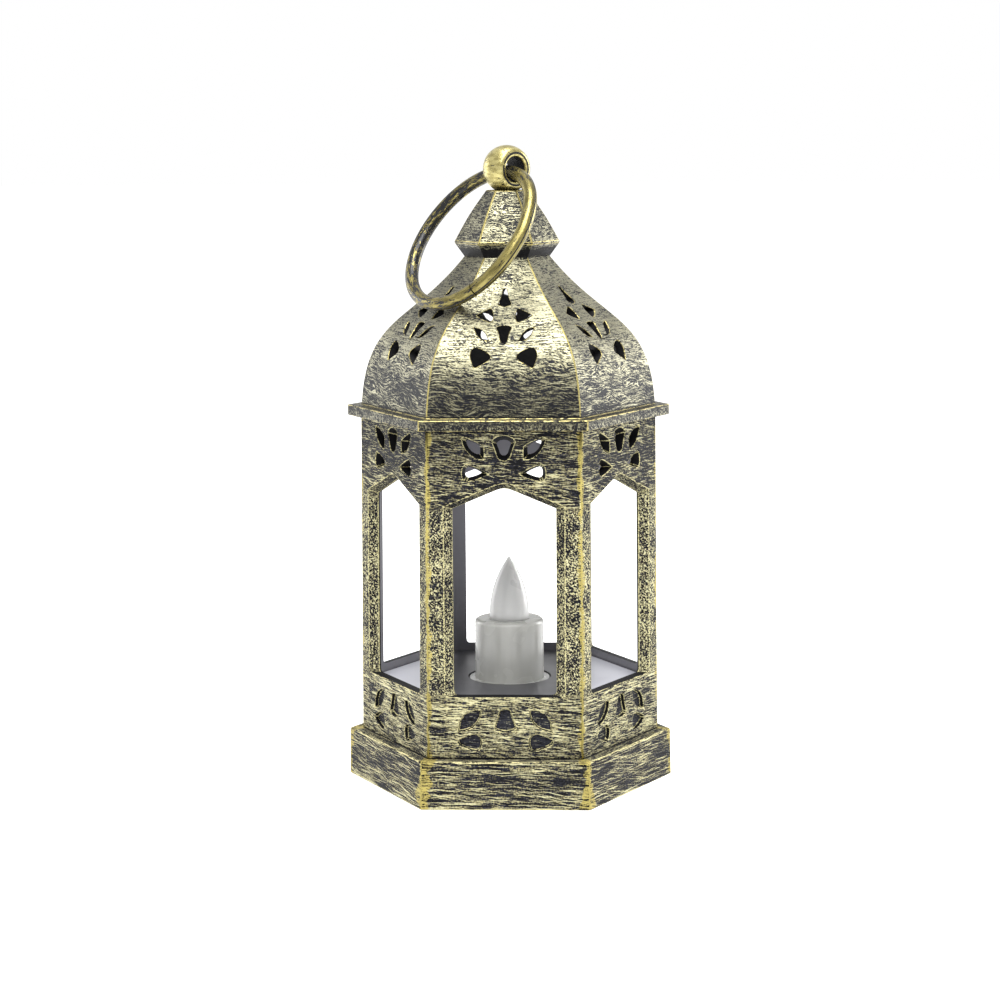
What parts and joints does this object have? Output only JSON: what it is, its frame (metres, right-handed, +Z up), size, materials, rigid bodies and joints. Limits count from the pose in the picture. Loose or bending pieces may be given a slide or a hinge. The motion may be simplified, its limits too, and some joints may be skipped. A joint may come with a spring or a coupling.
{
  "type": "lantern",
  "caption": "Small hexagonal Moroccan lantern in brushed gold on grey, with pierced ogee dome, pointed windows, swinging carry ring and an LED candle inside.",
  "frame": {"origin": "middle of the foot, on the surface that the lantern stands on", "axes": "+Z up through the dome to the carry ring; -Y out of the front panel, +X towards a corner on the right"},
  "size_m": [0.066, 0.0572, 0.1278],
  "materials": {
    "brushed_gold": "slate-grey plastic dry-brushed with pale gold paint",
    "ring_gold": "gold paint with dark streaks, satin",
    "grey_plastic": "smooth grey plastic",
    "milky_plastic": "translucent grey-white, satin",
    "clear_plastic": "clear warm resin",
    "black_plastic": "fine texture",
    "steel": "zinc or nickel plated",
    "board": "green laminate"
  },
  "bodies": {
    "lantern": {"plinth": "brushed_gold", "lantern_body": "brushed_gold", "roof": "brushed_gold", "roof_cap": "brushed_gold", "hanging_eye": "ring_gold", "floor_plate": "grey_plastic", "candle_shell": "milky_plastic", "candle_flame": "milky_plastic", "led": "clear_plastic", "led_lead_1": "steel", "led_lead_2": "steel", "circuit_board": "board", "control_chip": "black_plastic", "cell_spring": "steel", "plus_contact": "steel", "coin_cell": "steel", "switch_case": "steel", "base_cover": "black_plastic", "cover_screw_1": "steel", "cover_screw_2": "steel", "cover_screw_3": "steel", "plate_screw_1": "steel", "plate_screw_2": "steel", "plate_screw_3": "steel", "board_screw_1": "steel", "board_screw_2": "steel"},
    "ring": {"carry_ring": "ring_gold"},
    "switch": {"switch_slider": "black_plastic"},
    "door": {"battery_door": "black_plastic", "door_screw": "steel"}
  },
  "joints": [
    {"name": "ring_swing", "type": "hinge", "parent": "lantern", "child": "ring", "pos_m": [0, 0, 0.12248], "axis": [-0.6293, 0.7771, 0], "range_deg": [0, 288]},
    {"name": "switch_slide", "type": "slide", "parent": "lantern", "child": "switch", "axis": [0, -1, 0], "range_m": [0, 0.002]},
    {"name": "door_out", "type": "slide", "parent": "lantern", "child": "door", "axis": [0, 0, -1], "range_m": [0, 0.012]}
  ]
}
